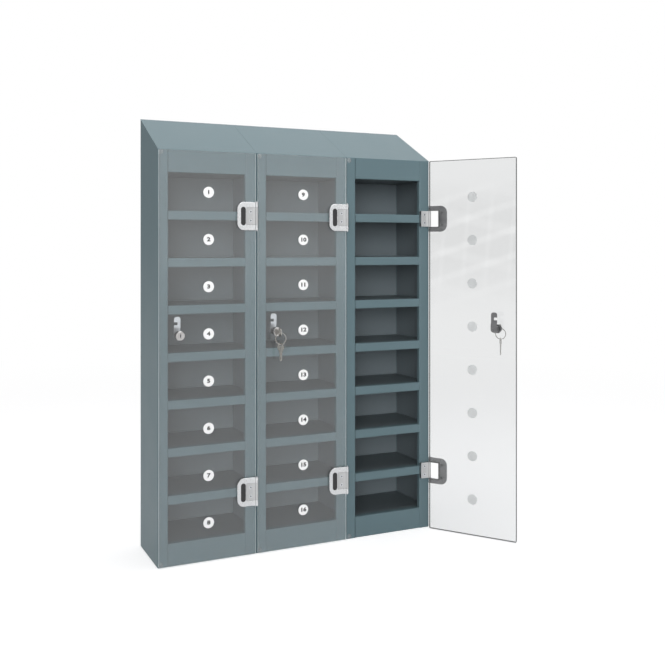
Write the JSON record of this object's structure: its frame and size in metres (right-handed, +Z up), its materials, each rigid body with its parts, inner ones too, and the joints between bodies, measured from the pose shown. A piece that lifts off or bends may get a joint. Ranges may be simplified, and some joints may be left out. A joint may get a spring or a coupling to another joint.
{
  "type": "phone locker bank",
  "caption": "Bank of three narrow wall lockers for phones: sloping steel roofs, open shelves behind clear hinged doors, D-shaped hinges, cam locks and keys.",
  "frame": {"origin": "middle of the footprint, on the face that the lockers stand on", "axes": "+X to the right seen from the front, +Y to the back, +Z up"},
  "size_m": [0.8865, 0.3958, 1.093],
  "materials": {
    "steel_coat": "blue-grey powder coat, satin",
    "clear_door": "clear plastic sheet, polished",
    "hinge_metal": "die-cast, satin bright",
    "black_cap": "moulded, matt",
    "fastener_steel": "zinc plated",
    "clear_buffer": "clear soft buffer",
    "white_disc": "white, satin",
    "lock_metal": "nickel plated",
    "cam_steel": "zinc plated",
    "key_metal": "nickel plated"
  },
  "bodies": {
    "carcass": {"back_panel_1": "steel_coat", "back_panel_2": "steel_coat", "back_panel_3": "steel_coat", "bottom_panels": "steel_coat", "ceilings": "steel_coat", "door_bumpers": "clear_buffer", "floor_panel_1": "steel_coat", "floor_panel_2": "steel_coat", "floor_panel_3": "steel_coat", "hinge_frame_leaves": "hinge_metal", "hinge_frame_screws": "fastener_steel", "hinge_pins": "fastener_steel", "joining_bolts": "fastener_steel", "joining_nuts": "fastener_steel", "roof_1": "steel_coat", "roof_2": "steel_coat", "roof_3": "steel_coat", "shelves_1": "steel_coat", "shelves_2": "steel_coat", "shelves_3": "steel_coat", "side_panel_left_1": "steel_coat", "side_panel_left_2": "steel_coat", "side_panel_left_3": "steel_coat", "side_panel_right_1": "steel_coat", "side_panel_right_2": "steel_coat", "side_panel_right_3": "steel_coat"},
    "door_panel_1": {"door_1": "clear_door", "hinge_caps_1": "black_cap", "hinge_door_leaves_1": "hinge_metal", "hinge_door_screws_1": "fastener_steel", "lock_barrel_1": "lock_metal", "lock_nut_1": "lock_metal", "number_discs_1": "white_disc"},
    "door_panel_2": {"door_2": "clear_door", "hinge_caps_2": "black_cap", "hinge_door_leaves_2": "hinge_metal", "hinge_door_screws_2": "fastener_steel", "lock_barrel_2": "lock_metal", "lock_nut_2": "lock_metal", "number_discs_2": "white_disc"},
    "door_panel_3": {"door_3": "clear_door", "hinge_caps_3": "black_cap", "hinge_door_leaves_3": "hinge_metal", "hinge_door_screws_3": "fastener_steel", "lock_barrel_3": "lock_metal", "lock_nut_3": "lock_metal", "number_discs_3": "white_disc"},
    "lock_key_2": {"key_2": "key_metal"},
    "lock_key_3": {"key_3": "key_metal"},
    "ring_2": {"key_ring_2": "key_metal"},
    "ring_3": {"key_ring_3": "key_metal"},
    "lock_cylinder_1": {"lock_cam_1": "cam_steel", "lock_plug_1": "lock_metal"},
    "lock_cylinder_2": {"lock_cam_2": "cam_steel", "lock_plug_2": "lock_metal"},
    "lock_cylinder_3": {"lock_cam_3": "cam_steel", "lock_plug_3": "lock_metal"},
    "hanging_key_2": {"spare_key_2": "key_metal"},
    "hanging_key_3": {"spare_key_3": "key_metal"}
  },
  "joints": [
    {"name": "door_1_swing", "type": "hinge", "parent": "carcass", "child": "door_panel_1", "pos_m": [-0.1282, -0.0996, 0.5], "axis": [0, 0, 1], "range_deg": [0, 150]},
    {"name": "lock_1_turn", "type": "hinge", "parent": "door_panel_1", "child": "lock_cylinder_1", "pos_m": [-0.3224, -0.08, 0.552], "axis": [0, -1, 0], "range_deg": [0, 90]},
    {"name": "door_2_swing", "type": "hinge", "parent": "carcass", "child": "door_panel_2", "pos_m": [0.1222, -0.0996, 0.5], "axis": [0, 0, 1], "range_deg": [0, 150]},
    {"name": "lock_2_turn", "type": "hinge", "parent": "door_panel_2", "child": "lock_cylinder_2", "pos_m": [-0.072, -0.08, 0.552], "axis": [0, -1, 0], "range_deg": [0, 90]},
    {"name": "door_3_swing", "type": "hinge", "parent": "carcass", "child": "door_panel_3", "pos_m": [0.3726, -0.0996, 0.5], "axis": [0, 0, 1], "range_deg": [-125, 55]},
    {"name": "lock_3_turn", "type": "hinge", "parent": "door_panel_3", "child": "lock_cylinder_3", "pos_m": [0.46793, -0.26992, 0.552], "axis": [0.8192, 0.5736, 0], "range_deg": [0, 90]},
    {"name": "key_2_pull", "type": "slide", "parent": "lock_cylinder_2", "child": "lock_key_2", "axis": [0, -1, 0], "range_m": [0, 0.03]},
    {"name": "ring_2_swing", "type": "hinge", "parent": "lock_key_2", "child": "ring_2", "pos_m": [-0.072, -0.1182, 0.5506], "axis": [0, 1, 0], "range_deg": [-25, 25]},
    {"name": "hanging_key_2_swing", "type": "hinge", "parent": "ring_2", "child": "hanging_key_2", "pos_m": [-0.072, -0.1182, 0.5226], "axis": [1, 0, 0], "range_deg": [-60, 20]},
    {"name": "key_3_pull", "type": "slide", "parent": "lock_cylinder_3", "child": "lock_key_3", "axis": [0.8192, 0.5736, 0], "range_m": [0, 0.03]},
    {"name": "ring_3_swing", "type": "hinge", "parent": "lock_key_3", "child": "ring_3", "pos_m": [0.49922, -0.24801, 0.5506], "axis": [-0.8192, -0.5736, 0], "range_deg": [-25, 25]},
    {"name": "hanging_key_3_swing", "type": "hinge", "parent": "ring_3", "child": "hanging_key_3", "pos_m": [0.49922, -0.24801, 0.5226], "axis": [-0.5736, 0.8192, 0], "range_deg": [-60, 20]}
  ]
}
